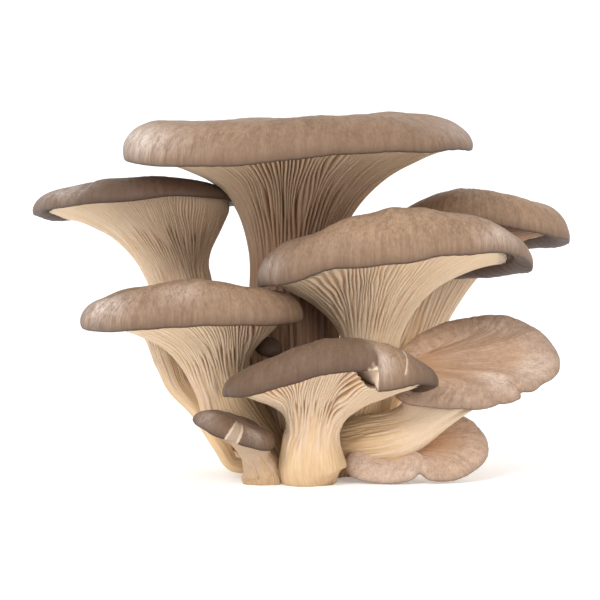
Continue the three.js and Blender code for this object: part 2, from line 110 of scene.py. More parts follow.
# Points and radii along a stem's line; s is 0 at its foot and 1 at the neck.
def alongStem(stem, s):
    line = np.asarray(stem, float)
    line = np.vstack([2 * line[0] - line[1], line, 2 * line[-1] - line[-2]])
    place = np.clip(s, 0, 1) * (len(stem) - 1)
    first = np.minimum(np.floor(place), len(stem) - 2).astype(int)
    return between(*(line[first + k] for k in range(4)), (place - first)[..., None])


def stemFrame(stem, s):
    step = 0.02
    low = alongStem(stem, np.maximum(0, np.asarray(s) - step))
    high = alongStem(stem, np.minimum(1, np.asarray(s) + step))
    return frameOf((high - low)[..., :3])


# A sum of waves that closes on itself round the turn, about 1 high. crests is the fewest and the
# most of them in a turn, and tilt how much they slant along the other way.
def ripples(seed, turn, along, crests, tilt=0, count=7):
    draw = np.random.default_rng(seed)
    total = 0
    for _ in range(count):
        times = draw.integers(crests[0], crests[1] + 1)
        slant = draw.normal() * tilt
        total = total + np.sin(turnAround * (times * turn + slant * along + draw.random()))
    return total / math.sqrt(count)


# The share of a tear's depth at a bearing: a step at one side, which may be eased, that heals
# slowly.
def torn(m, turn, ease=0):
    if "tear" not in m:
        return np.zeros(np.shape(turn))
    start, end = m["tear"]["start"], m["tear"]["end"]
    place = turn % 1
    healed = smoothstep((place - end) / (tearHealed - end))
    return smoothstep((place - start + ease) / (tearStep + ease)) * (1 - healed)


# Small caps have lower waves than large ones.
def waveSize(m):
    return min(1, float(np.max(m["reach"])) / fullReach) * m.get("waves", 1)


# The rim's sharp edge: its distance from the cap's middle, and its height.
def rimEdge(m, turn, share=None):
    share = torn(m, turn) if share is None else share
    tear = m.get("tear", {"drop": 0, "setback": 0})
    reach = atTurn(m["reach"], turn) - tear["setback"] * share
    lift = atTurn(m["lift"], turn) - tear["drop"] * share
    for at, width, inward, up in m.get("notches", ()):
        reach = reach - inward * nearTurn(turn, at, width)
        lift = lift + up * nearTurn(turn, at, width)
    seed = m["seed"]
    outWaves = 0.25 * ripples(seed, turn, 0, (4, 12)) + 0.05 * ripples(seed + 1, turn, 0, (20, 60))
    upWaves = 0.16 * ripples(seed + 2, turn, 0, (4, 14)) + 0.04 * ripples(seed + 3, turn, 0, (24, 70))
    return reach + waveSize(m) * outWaves, lift + waveSize(m) * upWaves


def capPoint(m, turn, distance, height):
    out, back, right = frameOf(m["facing"])
    distance = np.asarray(distance)[..., None]
    height = np.asarray(height)[..., None]
    return np.array(m["middle"], float) + spoke(back, right, turn) * distance + out * height


def innerWall(m, turn, share=None):
    reach, lift = rimEdge(m, turn, share)
    return reach - atTurn(m["lip"], turn) - wallLean, lift + atTurn(m.get("lipRise", lipHeight), turn)


# Where the gills begin under the cap; beside a tear they come down gently to its lower side.
def gillStart(m, turn):
    distance, height = innerWall(m, turn, torn(m, turn, tearMargin))
    inset = gillInset + atTurn(m.get("inset", 0), turn)
    return distance - np.minimum(inset, distance / 3), height - gillDrop


# A ring round the stem, lightly fluted: three broad flutes, and five between them
def ringPoint(m, s, turn):
    line = alongStem(m["stem"], s)
    back, right = stemFrame(m["stem"], s)[1:]
    angle = turnAround * turn
    flute = 1 + 0.05 * np.sin(3 * angle + m["gills"]) + 0.03 * np.sin(5 * angle + 2 * m["gills"])
    return line[..., :3] + spoke(back, right, turn) * (line[..., 3] * flute)[..., None]


# The smooth funnel under the gills: v is 0 to 1 up the stem, and 1 to 2 out to the rim.
def funnelPoint(m, v, turn):
    s = np.clip(v, 0, 1)
    ring = ringPoint(m, s, turn)
    neck = ringPoint(m, np.ones_like(s), turn)
    up = stemFrame(m["stem"], 1.0)[0]
    out = frameOf(m["facing"])[0]
    distance, height = gillStart(m, turn)
    level = np.minimum(height, m["crown"] - m["flesh"] - jointGap) - atTurn(m["sag"], turn)
    above = neck + out * (level - (neck - np.array(m["middle"], float)) @ out)[..., None]
    flat = atTurn(m["flat"], turn)[..., None]
    handles = (
        neck,
        neck + up * m["flare"],
        capPoint(m, turn, distance, level) * (1 - flat) + above * flat,
        capPoint(m, turn, distance, height),
    )
    return np.where((v > 1)[..., None], bezier(handles, np.clip(v - 1, 0, 1)[..., None]), ring)


# Meshes

# A skin over a grid of points that goes once round: the first and last rows close to points.
# tones are extra values for each point, kept as attributes for the material.
def skin(name, points, tones):
    rows, columns = points.shape[0] - 1, points.shape[1] - 1
    mesh = bpy.data.meshes.new(name)
    bm = bmesh.new()
    bmesh.ops.create_grid(bm, x_segments=columns, y_segments=rows, size=0.5)
    bm.to_mesh(mesh)
    bm.free()
    flat = np.empty(len(mesh.vertices) * 3, np.float32)
    mesh.vertices.foreach_get("co", flat)
    flat = flat.reshape(-1, 3)
    column = np.rint((flat[:, 0] + 0.5) * columns).astype(int)
    row = np.rint((flat[:, 1] + 0.5) * rows).astype(int)
    mesh.vertices.foreach_set("co", (points[row, column] * metre).astype(np.float32).ravel())
    for key, values in tones.items():
        picked = np.asarray(values, np.float32)[row, column]
        if picked.ndim == 2:
            mesh.attributes.new(key, "FLOAT_VECTOR", "POINT").data.foreach_set("vector", picked.ravel())
        else:
            mesh.attributes.new(key, "FLOAT", "POINT").data.foreach_set("value", picked)
    bm = bmesh.new()
    bm.from_mesh(mesh)
    bmesh.ops.remove_doubles(bm, verts=bm.verts, dist=1e-6)
    bmesh.ops.recalc_face_normals(bm, faces=bm.faces)
    bm.to_mesh(mesh)
    bm.free()
    mesh.shade_smooth()
    piece = bpy.data.objects.new(name, mesh)
    bpy.context.scene.collection.objects.link(piece)
    return piece


def settle(piece, node, material):
    piece.data.materials.append(material)
    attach(piece, "root")
    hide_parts(node)


# The outward direction of a closed grid of points, from its steps round and up.
def outward(points):
    inner = points[:, :-1]
    around = np.roll(inner, -1, axis=1) - np.roll(inner, 1, axis=1)
    up = np.gradient(inner, axis=0)
    normals = unit(np.cross(around, up))
    return np.concatenate([normals, normals[:, :1]], axis=1)


# Grain coordinates of a piece: noise on them is drawn out along its length.
def grainOf(turns, radius, along):
    angle = turnAround * turns
    return np.stack([np.cos(angle) * radius, np.sin(angle) * radius, along], axis=-1)


# Caps. Relief is in millimetres, and lengths are along the skin from the rim's edge.
capSkin = {
    "lipRows": 11,
    "closing": 0.1,  # how far in from the wall the hidden row inside a cap lies
    "topStart": 3,  # relief comes up over this much of the skin
    "swell": 0.16, "swellLength": 40,
    "pleat": 0.07, "pleatLength": 30, "pleatMiddle": 4, "pleatBand": 7,
    "lump": 0.08, "lumpLength": 14,
    "foldLength": 60, "foldReach": 30,
    "tornDepth": 0.35,
    "grainLength": 0.08,
}


# The profile at every bearing. Rows go from the hidden inner middle to the inner wall, round the
# lip to the rim's edge, over the roll and in to the crown.
def capRows(m, turn, rollRows, crownRows):
    reach, lift = rimEdge(m, turn)
    # a tear lets the rim's edge down and leaves its crest where it was
    rise = atTurn(m["rise"], turn) + m.get("tear", {"drop": 0})["drop"] * torn(m, turn)
    shoulder = atTurn(m["shoulder"], turn)
    lip = atTurn(m["lip"], turn)
    wall = innerWall(m, turn)
    swell = m["swell"] * 4 / 3  # a curve goes three quarters of the way to its handles
    ceiling = m["crown"] - m["flesh"]
    closing = capSkin["closing"]
    rows = [
        (0 * turn, 0 * turn + ceiling),
        (wall[0] * (1 - closing), wall[1] * (1 - closing) + ceiling * closing),
    ]
    under = np.array([
        wall,
        [reach - lip, lift + 0.3 * (wall[1] - lift)],
        [reach - 0.4 * lip, lift],
        [reach, lift],
    ])
    rows += [tuple(bezier(under, t)) for t in np.linspace(0, 1, capSkin["lipRows"], endpoint=False)]
    edgeRow = len(rows)
    roll = np.array([
        [reach, lift],
        [reach + swell, lift + 0.25 * rise],
        [reach + swell - 0.25 * shoulder, lift + rise],
        [reach - shoulder, lift + rise],
    ])
    rows += [tuple(bezier(roll, t)) for t in np.linspace(0, 1, rollRows)]
    crest = roll[3]
    crown = np.full_like(turn, m["crown"])
    top = np.array([
        crest,
        [crest[0] * 0.66, crest[1]],
        [crest[0] * 0.3, crown],
        [0 * turn, crown],
    ])
    rows += [tuple(bezier(top, t)) for t in np.linspace(0, 1, crownRows + 1)[1:]]
    return np.array([row[0] for row in rows]), np.array([row[1] for row in rows]), edgeRow


# Broad swells, fine pleats beside the rim, small lumps, and on the fans long folds.
def capRelief(m, turns, meridian):
    seed = m["seed"]
    beside = np.exp(-((meridian - capSkin["pleatMiddle"]) / capSkin["pleatBand"]) ** 2)
    swells = ripples(seed + 4, turns, meridian / capSkin["swellLength"], (2, 9), 0.6, 9)
    pleats = ripples(seed + 5, turns, meridian / capSkin["pleatLength"], (26, 90), 0.4, 11) * beside
    lumps = ripples(seed + 6, turns, meridian / capSkin["lumpLength"], (3, 14), 1.2, 9)
    folds = ripples(seed + 7, turns, meridian / capSkin["foldLength"], (9, 34), 0.25, 9)
    bumps = capSkin["swell"] * swells + capSkin["pleat"] * pleats + capSkin["lump"] * lumps
    return waveSize(m) * bumps + m.get("folds", 0) * folds * np.exp(-meridian / capSkin["foldReach"])


# How far the skin is torn away, and the painted highlight along a crease: ragged bands that may lean to
# one side
def tornFleshAndHighlights(m, turns, meridian):
    flesh = np.zeros_like(meridian)
    for at, width, start, end, lean, strength in m.get("scarsAndHighlights", ()):
        ragged = 0.25 * ripples(m["seed"] + 8, turns, meridian / 6, (20, 60), 1.0)
        aside = np.abs((turns - at - lean * meridian + 0.5) % 1 - 0.5) / width
        side = 1 - smoothstep((aside - 0.7 + 0.3 * ragged) / 0.3)
        below = 1 - smoothstep((meridian - end + 2 * ragged) / 1.5)
        flesh = np.maximum(flesh, strength * side * smoothstep((meridian - start + ragged) / 0.8) * below)
    return flesh


# Places where a satin highlight is painted on the skin
def paintedSheen(m, turns, meridian):
    sheen = np.zeros_like(meridian)
    for at, width, middle, length, strength in m.get("sheen", ()):
        band = np.exp(-((meridian - middle) / length) ** 2)
        sheen = np.maximum(sheen, strength * nearTurn(turns, at, width) * band)
    return sheen


def capPiece(m, columns, rollRows, crownRows):
    turn = np.linspace(0, 1, columns + 1)
    distance, height, edgeRow = capRows(m, turn, rollRows, crownRows)
    turns = np.broadcast_to(turn, distance.shape)
    points = capPoint(m, turns, distance, height)
    # the eye of a fan, where its top meets the stem, lies to one side
    back, right = frameOf(m["facing"])[1:]
    eye = m.get("eye", (0, 0))
    inwards = np.zeros(len(distance))
    inwards[edgeRow + rollRows - 1:] = smoothstep(np.linspace(0, 1, crownRows + 1))
    inwards[:2] = (1, capSkin["closing"])
    points = points + inwards[:, None, None] * (right * eye[0] + back * eye[1])
    steps = np.linalg.norm(np.diff(points, axis=0), axis=-1)
    meridian = np.concatenate([np.zeros((1, columns + 1)), np.cumsum(steps, axis=0)])
    meridian = meridian - meridian[edgeRow]
    onTop = smoothstep(meridian / capSkin["topStart"])
    largest = float(np.max(m["reach"]))
    share = np.clip(distance / largest, 0, 1)
    points = points + outward(points) * (capRelief(m, turns, meridian) * onTop * share)[..., None]
    for at, width, depth, length in m.get("creases", ()):
        near = nearTurn(turns, at, width) * onTop * np.exp(-(meridian / length) ** 2)
        points = points - outward(points) * (depth * near)[..., None]
    flesh = tornFleshAndHighlights(m, turns, meridian)
    points = points - outward(points) * (capSkin["tornDepth"] * flesh)[..., None]
    around = largest * (0.25 + 0.75 * share)
    tones = {
        "edge": meridian,
        "grain": grainOf(turns, around, meridian * capSkin["grainLength"]),
        "torn": flesh,
        "sheen": paintedSheen(m, turns, meridian),
        "shade": atTurn(m.get("capShade", 1), turns) + m.get("flapShade", 0) * torn(m, turns),
        "flush": m.get("flush", 0) * smoothstep((meridian - 6) / 10),
    }
    return skin("cap." + m["name"], points, tones)


# Gills: full ones run down the stem, a second set starts at the neck and a third between them.
# Starts and lengths are in v, which is 1 at the neck and 2 at the rim.
gillLook = {
    "width": 0.5,
    "footSpread": 0.2, "footLength": 0.35,
    "halfStart": 0.95, "halfLength": 0.35, "halfHeight": 0.95,
    "shortStart": 1.3, "shortLength": 0.25, "shortHeight": 0.85,
    "startSpread": 0.1,
    "fibre": 0.12, "bulge": 0.25,  # relief of the plain stem, in millimetres
    "fullRadius": 6,  # thinner stems have less of it
    "grainLength": 0.1,
}


# place counts the gills of a set, and a blade has a round edge.
def blade(place, thickness, pitch):
    near = np.abs(place - np.rint(place)) * pitch
    return smoothstep(1.25 - near / thickness)


# A set of gills that start about half way, or nearer the rim
def shorterGills(draw, kind, place, count, vs, thickness, pitch):
    spread = gillLook["startSpread"] * draw.normal(size=count).clip(-1.5, 1.5)
    starts = gillLook[kind + "Start"] + spread
    index = np.rint(place).astype(int) % count
    return blade(place, thickness, pitch) * smoothstep((vs - starts[index]) / gillLook[kind + "Length"])


# How high the gills stand, from 0 to 1, and where the flesh has gills
def gillRelief(m, turns, vs, base, fullGills, columnsPerGill):
    seed = m["seed"] * 10
    # the gills wander a little, more on the stem than at the rim
    wander = 0.12 * ripples(seed, turns, vs, (3, 12), 0.9)
    wander = wander + 0.05 * ripples(seed + 1, turns, vs, (10, 30), 1.6)
    tangled = m.get("tangle", 1) * (1 - smoothstep((vs - 0.9) / 0.5))
    place = turns * fullGills + wander + 0.06 * tangled * ripples(seed + 2, turns, vs, (8, 24), 3)
    index = np.rint(place).astype(int) % fullGills
    pitch = np.linalg.norm(np.diff(base, axis=1), axis=-1) * columnsPerGill
    pitch = np.concatenate([pitch, pitch[:, :1]], axis=1)
    thickness = gillLook["width"] * (1.25 - 0.35 * smoothstep((vs - 0.9) / 0.6))
    draw = np.random.default_rng(seed + 3)
    starts = m["gillFoot"] + gillLook["footSpread"] * draw.normal(size=fullGills).clip(-1.5, 1.5)
    tall = 0.8 + 0.2 * draw.random(fullGills)
    risen = smoothstep((vs - starts[index]) / gillLook["footLength"])
    full = blade(place, thickness, pitch) * risen * tall[index]
    half = shorterGills(draw, "half", place + 0.5, fullGills, vs, thickness, pitch)
    short = shorterGills(draw, "short", place * 2 + 0.5, 2 * fullGills, vs, thickness, pitch / 2)
    shorter = np.maximum(gillLook["halfHeight"] * half, gillLook["shortHeight"] * short)
    return np.maximum(full, shorter), smoothstep((vs - starts[index] + 0.1) / 0.5)


def stemPiece(m, fullGills, perGill, stemRows, flareRows):
    columnsPerGill = 4 * perGill
    columns = fullGills * columnsPerGill
    turn = np.linspace(0, 1, columns + 1)
    # rows crowd a little towards the rim
    flare = 1 - (1 - np.linspace(0, 1, flareRows + 1)) ** 1.15
    v = np.concatenate([np.linspace(0, 1, stemRows + 1)[:-1], 1 + flare])
    turns, vs = np.meshgrid(turn, v)
    base = funnelPoint(m, vs, turns)
    relief, gilled = gillRelief(m, turns, vs, base, fullGills, columnsPerGill)
    soft = m.get("grooveTone", 1)
    atRim = 1 - 0.65 * smoothstep((vs - 1.75) / 0.25)
    deep = soft * m["ridge"] * (0.25 + 0.75 * smoothstep((vs - 0.95) / 0.65)) * atRim
    seed = m["seed"] * 10
    fibres = gillLook["fibre"] * ripples(seed + 4, turns, vs, (18, 60), 1.5, 11)
    bulges = gillLook["bulge"] * ripples(seed + 5, turns, vs, (2, 8), 0.8)
    thin = min(1, m["stem"][0][3] / gillLook["fullRadius"])
    lumps = (fibres + bulges) * (1 - smoothstep((vs - 0.95) / 0.4)) * thin
    points = base + outward(base) * (relief * deep + lumps)[..., None]
    points[..., 2] = np.maximum(points[..., 2], 0.0)
    middle = capPoint(m, turn, 0 * turn, 0 * turn + m["crown"] - m["flesh"] - jointGap)
    closing = [points[-1] * (1 - t) + middle * t for t in (0.5, 1)]
    foot = np.broadcast_to(points[0].mean(axis=0), points[0].shape)
    points = np.concatenate([foot[None], points, np.array(closing)])
    steps = np.linalg.norm(np.diff(base, axis=0), axis=-1)
    length = np.concatenate([np.zeros((1, columns + 1)), np.cumsum(steps, axis=0)])
    girth = float(m["stem"][-1][3]) * (1 + 2 * smoothstep(vs - 1))
    # flesh in the shade of the caps in front is darker, and less so at the back
    shade = np.interp(vs, (0, 1, 2), m.get("stemShade", (1, 1, 1))) * atTurn(m.get("sideShade", 1), turns)
    behind = smoothstep(1.5 * np.sin(turnAround * turns))
    tones = {
        "groove": (1 - relief) * gilled * soft,
        "up": vs,
        "gilled": gilled,
        "grain": grainOf(turns, girth, length * gillLook["grainLength"]),
        "shade": shade + np.maximum(0, 0.85 - shade) * behind,
    }
    for key, values in tones.items():
        tones[key] = np.concatenate([values[:1], values, values[-1:], values[-1:]])
    return skin("stem." + m["name"], points, tones)


# Materials

# A shader socket with arithmetic, and one method that adds any other node.
class Wire:
    def __init__(self, tree, socket):
        self.tree = tree
        self.socket = socket

    def node(self, kind, inputs, output=0, **settings):
        made = self.tree.nodes.new(kind)
        for key, value in settings.items():
            setattr(made, key, value)
        for key, value in inputs.items():
            if isinstance(value, Wire):
                self.tree.links.new(value.socket, made.inputs[key])
            else:
                made.inputs[key].default_value = value
        return Wire(self.tree, made.outputs[output])

    def maths(self, operation, other):
        return self.node("ShaderNodeMath", {0: self, 1: other}, operation=operation)

    def __add__(self, other):
        return self.maths("ADD", other)

    def __mul__(self, other):
        return self.maths("MULTIPLY", other)

    def noise(self, scale, detail=3.0, roughness=0.55):
        inputs = {"Vector": self, "Scale": scale, "Detail": detail, "Roughness": roughness}
        return self.node("ShaderNodeTexNoise", inputs)

    # 0 at low and 1 at high, and smooth between them
    def ramp(self, low, high):
        inputs = {"Value": self, "From Min": low, "From Max": high}
        return self.node("ShaderNodeMapRange", inputs, interpolation_type="SMOOTHSTEP")

    def pick(self, first, second):
        return self.node("ShaderNodeMix", {0: self, 6: first, 7: second}, output=2, data_type="RGBA")

    def bump(self, strength, distance):
        return self.node("ShaderNodeBump", {"Height": self, "Strength": strength, "Distance": distance})

    def into(self, shader, name):
        self.tree.links.new(self.socket, shader.inputs[name])


# A colour given by its values on a screen, 0 to 255, as the shader wants it
def linear(*screen):
    share = np.array(screen) / 255
    light = np.where(share <= 0.04045, share / 12.92, ((share + 0.055) / 1.055) ** 2.4)
    return (*light.tolist(), 1.0)


# A new material with its shader, a wire to start from, and the place on the object in metres
def newMaterial(name):
    material = bpy.data.materials.new(name)
    material.use_nodes = True
    start = Wire(material.node_tree, None)
    where = start.node("ShaderNodeTexCoord", {}, output=3)
    return material, material.node_tree.nodes["Principled BSDF"], start, where


# One of a piece's own tones
def toneOf(start, key):
    return start.node("ShaderNodeAttribute", {}, output=2, attribute_name=key)


# The same where a tone is a vector, as the grain is
def vectorOf(start, key):
    return start.node("ShaderNodeAttribute", {}, output=1, attribute_name=key)


# rollShade is how much darker the roll is than the top: painted shade, as if the cap were lit from above.
def capMaterial(name, dark, light, rim, rollShade):
    material, shader, start, where = newMaterial(name)
    grain = vectorOf(start, "grain")
    edge = toneOf(start, "edge")
    streak = grain.noise(0.55, 5.0, 0.62)
    hair = grain.noise(2.4, 3.0, 0.6)
    mottle = where.noise(55.0, 3.0, 0.55)
    speckle = where.noise(900.0, 2.0, 0.6)
    tone = streak * 0.5 + hair * 0.45 + mottle * 0.18 + speckle * 0.25
    colour = tone.ramp(0.38, 1.0).pick(dark, light)
    # painted shade: the roll is darker than the top, most of all near the rim
    colour = (edge.ramp(13.0, 2.0) * rollShade).pick(colour, dark)
    flushed = toneOf(start, "flush") * where.noise(30.0, 2.0).ramp(0.25, 0.7)
    colour = flushed.pick(colour, linear(194, 150, 112))
    underside = edge.ramp(3.5, -0.5)
    colour = (underside * 0.55).pick(colour, rim)
    line = edge.ramp(0.9, 0.1) * 0.75
    colour = line.pick(colour, rim)
    colour = toneOf(start, "shade").pick(linear(62, 42, 31), colour)
    # painted satin highlight, strongest where the sheen tone is set
    sheen = toneOf(start, "sheen") * (streak * 0.6 + hair * 0.7 + mottle * 0.5).ramp(0.55, 1.15)
    colour = (sheen * 0.85).pick(colour, linear(232, 218, 208))
    # pale torn flesh; the same colour paints a highlight along a crease on the front cap's flap
    colour = toneOf(start, "torn").pick(colour, linear(233, 208, 182))
    colour.into(shader, "Base Color")
    rough = hair * 0.16 + mottle * 0.1 + 0.42
    rough.into(shader, "Roughness")
    (streak * 0.3 + hair * 0.4 + speckle * 0.25).bump(0.5, 0.0006).into(shader, "Normal")
    shader.inputs["Specular IOR Level"].default_value = 0.3
    shader.inputs["Sheen Weight"].default_value = 0.03
    shader.inputs["Sheen Roughness"].default_value = 0.4
    return material


def fleshMaterial(name, ridge, groove, stemTop, stemFoot):
    material, shader, start, where = newMaterial(name)
    grain = vectorOf(start, "grain")
    up = toneOf(start, "up")
    fibre = grain.noise(1.1, 4.0, 0.6)
    hair = grain.noise(3.6, 2.0, 0.6)
    blotch = where.noise(60.0, 3.0, 0.55)
    stem = up.ramp(0.0, 0.75).pick(stemFoot, stemTop)
    stem = (fibre.ramp(0.62, 0.38) * 0.4).pick(stem, linear(205, 172, 128))
    stem = (blotch.ramp(0.55, 0.75) * 0.35).pick(stem, linear(196, 160, 116))
    gills = (fibre.ramp(0.35, 0.7) * 0.35).pick(ridge, linear(240, 219, 193))
    # the grooves between the gills are darker: partly the ochre of the flesh there and partly painted
    # shade, weaker on the stem than out under the cap
    deep = up.ramp(1.0, 1.6) * 0.65 + 0.25
    gills = (toneOf(start, "groove").ramp(0.35, 1.0) * deep).pick(gills, groove)
    colour = toneOf(start, "gilled").pick(stem, gills)
    # darker streaks at the very foot of each stem
    darkFoot = up.ramp(0.14, -0.02) * fibre.ramp(0.35, 0.6)
    colour = darkFoot.pick(colour, linear(150, 118, 84))
    colour = toneOf(start, "shade").pick(linear(94, 50, 16), colour)
    colour.into(shader, "Base Color")
    rough = hair * 0.2 + 0.5
    rough.into(shader, "Roughness")
    (fibre * 0.6 + hair * 0.4).bump(0.45, 0.0005).into(shader, "Normal")
    shader.inputs["Specular IOR Level"].default_value = 0.3
    shader.inputs["Subsurface Weight"].default_value = 0.18
    shader.inputs["Subsurface Radius"].default_value = (1.0, 0.5, 0.28)
    shader.inputs["Subsurface Scale"].default_value = 0.003
    return material


greySkin = capMaterial(
    "grey_skin", dark=linear(115, 88, 67), light=linear(180, 149, 121),
    rim=linear(66, 50, 40), rollShade=0.5,
)
paleSkin = capMaterial(
    "pale_skin", dark=linear(150, 119, 96), light=linear(212, 184, 161),
    rim=linear(112, 90, 74), rollShade=0.2,
)
creamFlesh = fleshMaterial(
    "cream_flesh", ridge=linear(223, 198, 169), groove=linear(182, 132, 84),
    stemTop=linear(230, 201, 162), stemFoot=linear(221, 192, 154),
)


# capGrid: columns, rows of the roll and rows of the crown. stemGrid: full gills, columns to a
# quarter of one, rows up the stem and rows out to the rim.
def build(m, capGrid, stemGrid, capLook=greySkin):
    name = m["name"]
    settle(stemPiece(m, *stemGrid), "stem_" + name, creamFlesh)
    settle(capPiece(m, *capGrid), "cap_" + name, capLook)
    print("built", name, flush=True)


# Each mushroom. Lists go round the middle of a cap at equal steps of 30 degrees, from the right
# by the back, the left and the front.
# reach: from the middle to the rim. lift: the rim's edge above the middle. rise, shoulder and
# swell: height, width and bulge of the rolled rim. lip and lipRise: how far the skin turns in
# and up under it. crown: the middle of the cap above its rim, and flesh: its thickness there.
# stem: points from the foot up, as x, y, z and radius. flare: how far the gills follow it before
# they turn out. flat: the share of the way in from the rim that they run level. sag: how far
# below the cap that level is. inset: how far in they begin. gills: the phase of the stem's
# flutes. ridge: how far gills stand out, gillFoot: how far up the stem they start, and tangle:
# how much they wander there. grooveTone: how deep and dark the grooves are.
# waves: the height of the rim's waves. folds: the height of long folds. eye: where a fan's top
# meets its stem. notches: bearing, width, inward and up. creases: bearing, width, depth and length.
# scarsAndHighlights: bearing, width, start, end, lean and strength of torn flesh, and of a
# painted highlight along a crease. sheen: bearing, width, middle, length and strength of a painted
# satin highlight. flush: warm colour round the eye.
# capShade, stemShade (foot, neck and rim) and sideShade: 1 in the light, 0 in deep shade.
# flapShade: how much lighter the flap beside a tear is.

build({
    "name": "tall", "seed": 11, "middle": (-0.7, 10, 87.5), "facing": (0, 0, 1),
    "reach": (47.4, 44, 38, 36, 37, 42, 47, 45.5, 39.5, 36, 38, 44),
    "lift": (0.6, 1, 0, 0, 0, -1, -2, -2.8, -2.4, -0.4, 1.1, 0.8),
    "rise": (9, 8.5, 7.5, 7.5, 7.5, 8, 10.2, 11.4, 11.6, 10.7, 9.8, 9.5),
    "shoulder": (17, 14, 10, 9, 9, 9, 10, 10, 9, 9, 10, 14),
    "swell": 1, "crown": 6.5, "flesh": 6, "lip": 1.4,
    "stem": ((2, 9.5, 6, 8), (-2, 12, 28, 12), (-2.6, 14, 56, 11.3)),
    "flare": 13, "flat": (0.72, 0.68, 0.62, 0.65, 0.74, 0.86, 0.92, 0.9, 0.82, 0.72, 0.7, 0.72),
    "sag": 0.9, "gills": 26, "ridge": 2.2, "gillFoot": 0.35, "stemShade": (0.4, 0.26, 0.95),
    "sideShade": (0.75, 0.8, 0.8, 0.8, 0.8, 1, 1, 0.95, 0.75, 0.62, 0.64, 0.7),
    "capShade": (0.82, 0.82, 0.82, 0.82, 0.82, 0.84, 0.88, 0.84, 0.74, 0.66, 0.7, 0.8),
    "sheen": ((0.55, 0.06, 7, 5, 0.8), (0.97, 0.05, 6, 4, 0.3)),
}, capGrid=(420, 26, 34), stemGrid=(36, 6, 20, 60))

build({
    "name": "centre", "seed": 12, "middle": (25, -7, 59), "facing": (0, 0, 1),
    "reach": (37, 33, 22, 18, 17, 21, 34, 38, 32, 28, 30, 36),
    "lift": (-2.5, -6, -7, -5, -3, -2.4, -5.4, -5.8, -0.5, 0.8, 3.2, 2.7),
    "rise": (7.2, 6, 6, 8, 9, 8, 8.6, 12.6, 13.4, 14.5, 11.7, 8.9),
    "shoulder": (7, 8, 8, 8, 8, 9, 9, 9, 10, 10, 10, 10),
    "swell": 1, "crown": 9.5, "flesh": 9.5,
    "lip": (5, 6, 5, 2, 1.4, 1.4, 1.4, 1.4, 1.4, 1.4, 1.4, 3),
    "lipRise": (3.4, 4.2, 3.6, 2, 1.8, 1.8, 1.8, 1.8, 1.8, 1.8, 1.8, 2.2),
    "stem": ((12, 5, 5, 6.8), (17, 2, 18, 7.2), (18.4, 1, 34, 7.4)),
    "flare": 8, "flat": (0.8, 0.75, 0.7, 0.65, 0.6, 0.55, 0.5, 0.55, 0.6, 0.65, 0.7, 0.75),
    "sag": (2, 2, 2, 2, 2, 2, 2, 2.4, 2.6, 2.2, 2, 2), "gills": 26, "ridge": 2, "gillFoot": 0.7,
    "sheen": ((0.57, 0.03, 5, 4, 0.4), (0.9, 0.03, 5, 3, 0.4)),
    "capShade": (0.9, 0.9, 0.9, 0.9, 0.9, 0.7, 0.52, 0.56, 0.84, 0.9, 0.9, 0.9), "grooveTone": 0.65,
    "sideShade": (1, 1, 1, 1, 0.8, 0.6, 0.5, 0.6, 0.92, 1, 1, 1),
}, capGrid=(420, 26, 30), stemGrid=(28, 8, 16, 60))

build({
    "name": "left_middle", "seed": 13, "middle": (-29, -15, 43), "facing": (0, 0, 1),
    "reach": (29.5, 25, 20, 18.5, 20, 25, 29.4, 26.6, 22, 20, 22, 27.5),
    "lift": (0.5, 0, 0, 0, 0, -0.5, -1.2, -1.5, -0.3, 0.5, 0.7, 0.4),
    "rise": (8, 8.6, 9.5, 9.5, 9.5, 9, 7.8, 10.6, 12, 12, 11.4, 9.6),
    "shoulder": (8, 8, 8, 8, 8, 8, 9, 9, 9, 9, 9, 8),
    "swell": 1, "crown": 8.5, "flesh": 8,
    "lip": (3, 2, 1.3, 1.3, 1.3, 1.3, 1.3, 1.3, 1.3, 1.3, 1.3, 2),
    "stem": ((-6.5, -2, 3, 6), (-10.5, -4.5, 9, 6.2), (-18, -7.4, 18.5, 7.8), (-20.8, -8.8, 25.5, 7.4)),
    "flare": 8, "flat": (0.6, 0.65, 0.75, 0.85, 0.85, 0.85, 0.85, 0.85, 0.85, 0.8, 0.7, 0.6),
    "sag": 2, "gills": 22, "ridge": 1.9, "gillFoot": 0.75, "tangle": 1.5,
    "sheen": ((0.57, 0.05, 7, 5, 0.8), (0.73, 0.05, 10, 3, 0.3)), "stemShade": (0.6, 0.72, 0.95),
    "capShade": 0.8,
    "inset": (0, 0, 0, 0, 0, 1.5, 3, 1.5, 0, 0, 0, 0), "creases": ((0.556, 0.008, 1.7, 13),),
    "waves": 0.4, "sideShade": (0.6, 0.7, 0.8, 0.9, 1, 1, 1, 1, 1, 0.98, 0.8, 0.6),
}, capGrid=(360, 24, 26), stemGrid=(28, 7, 26, 50))

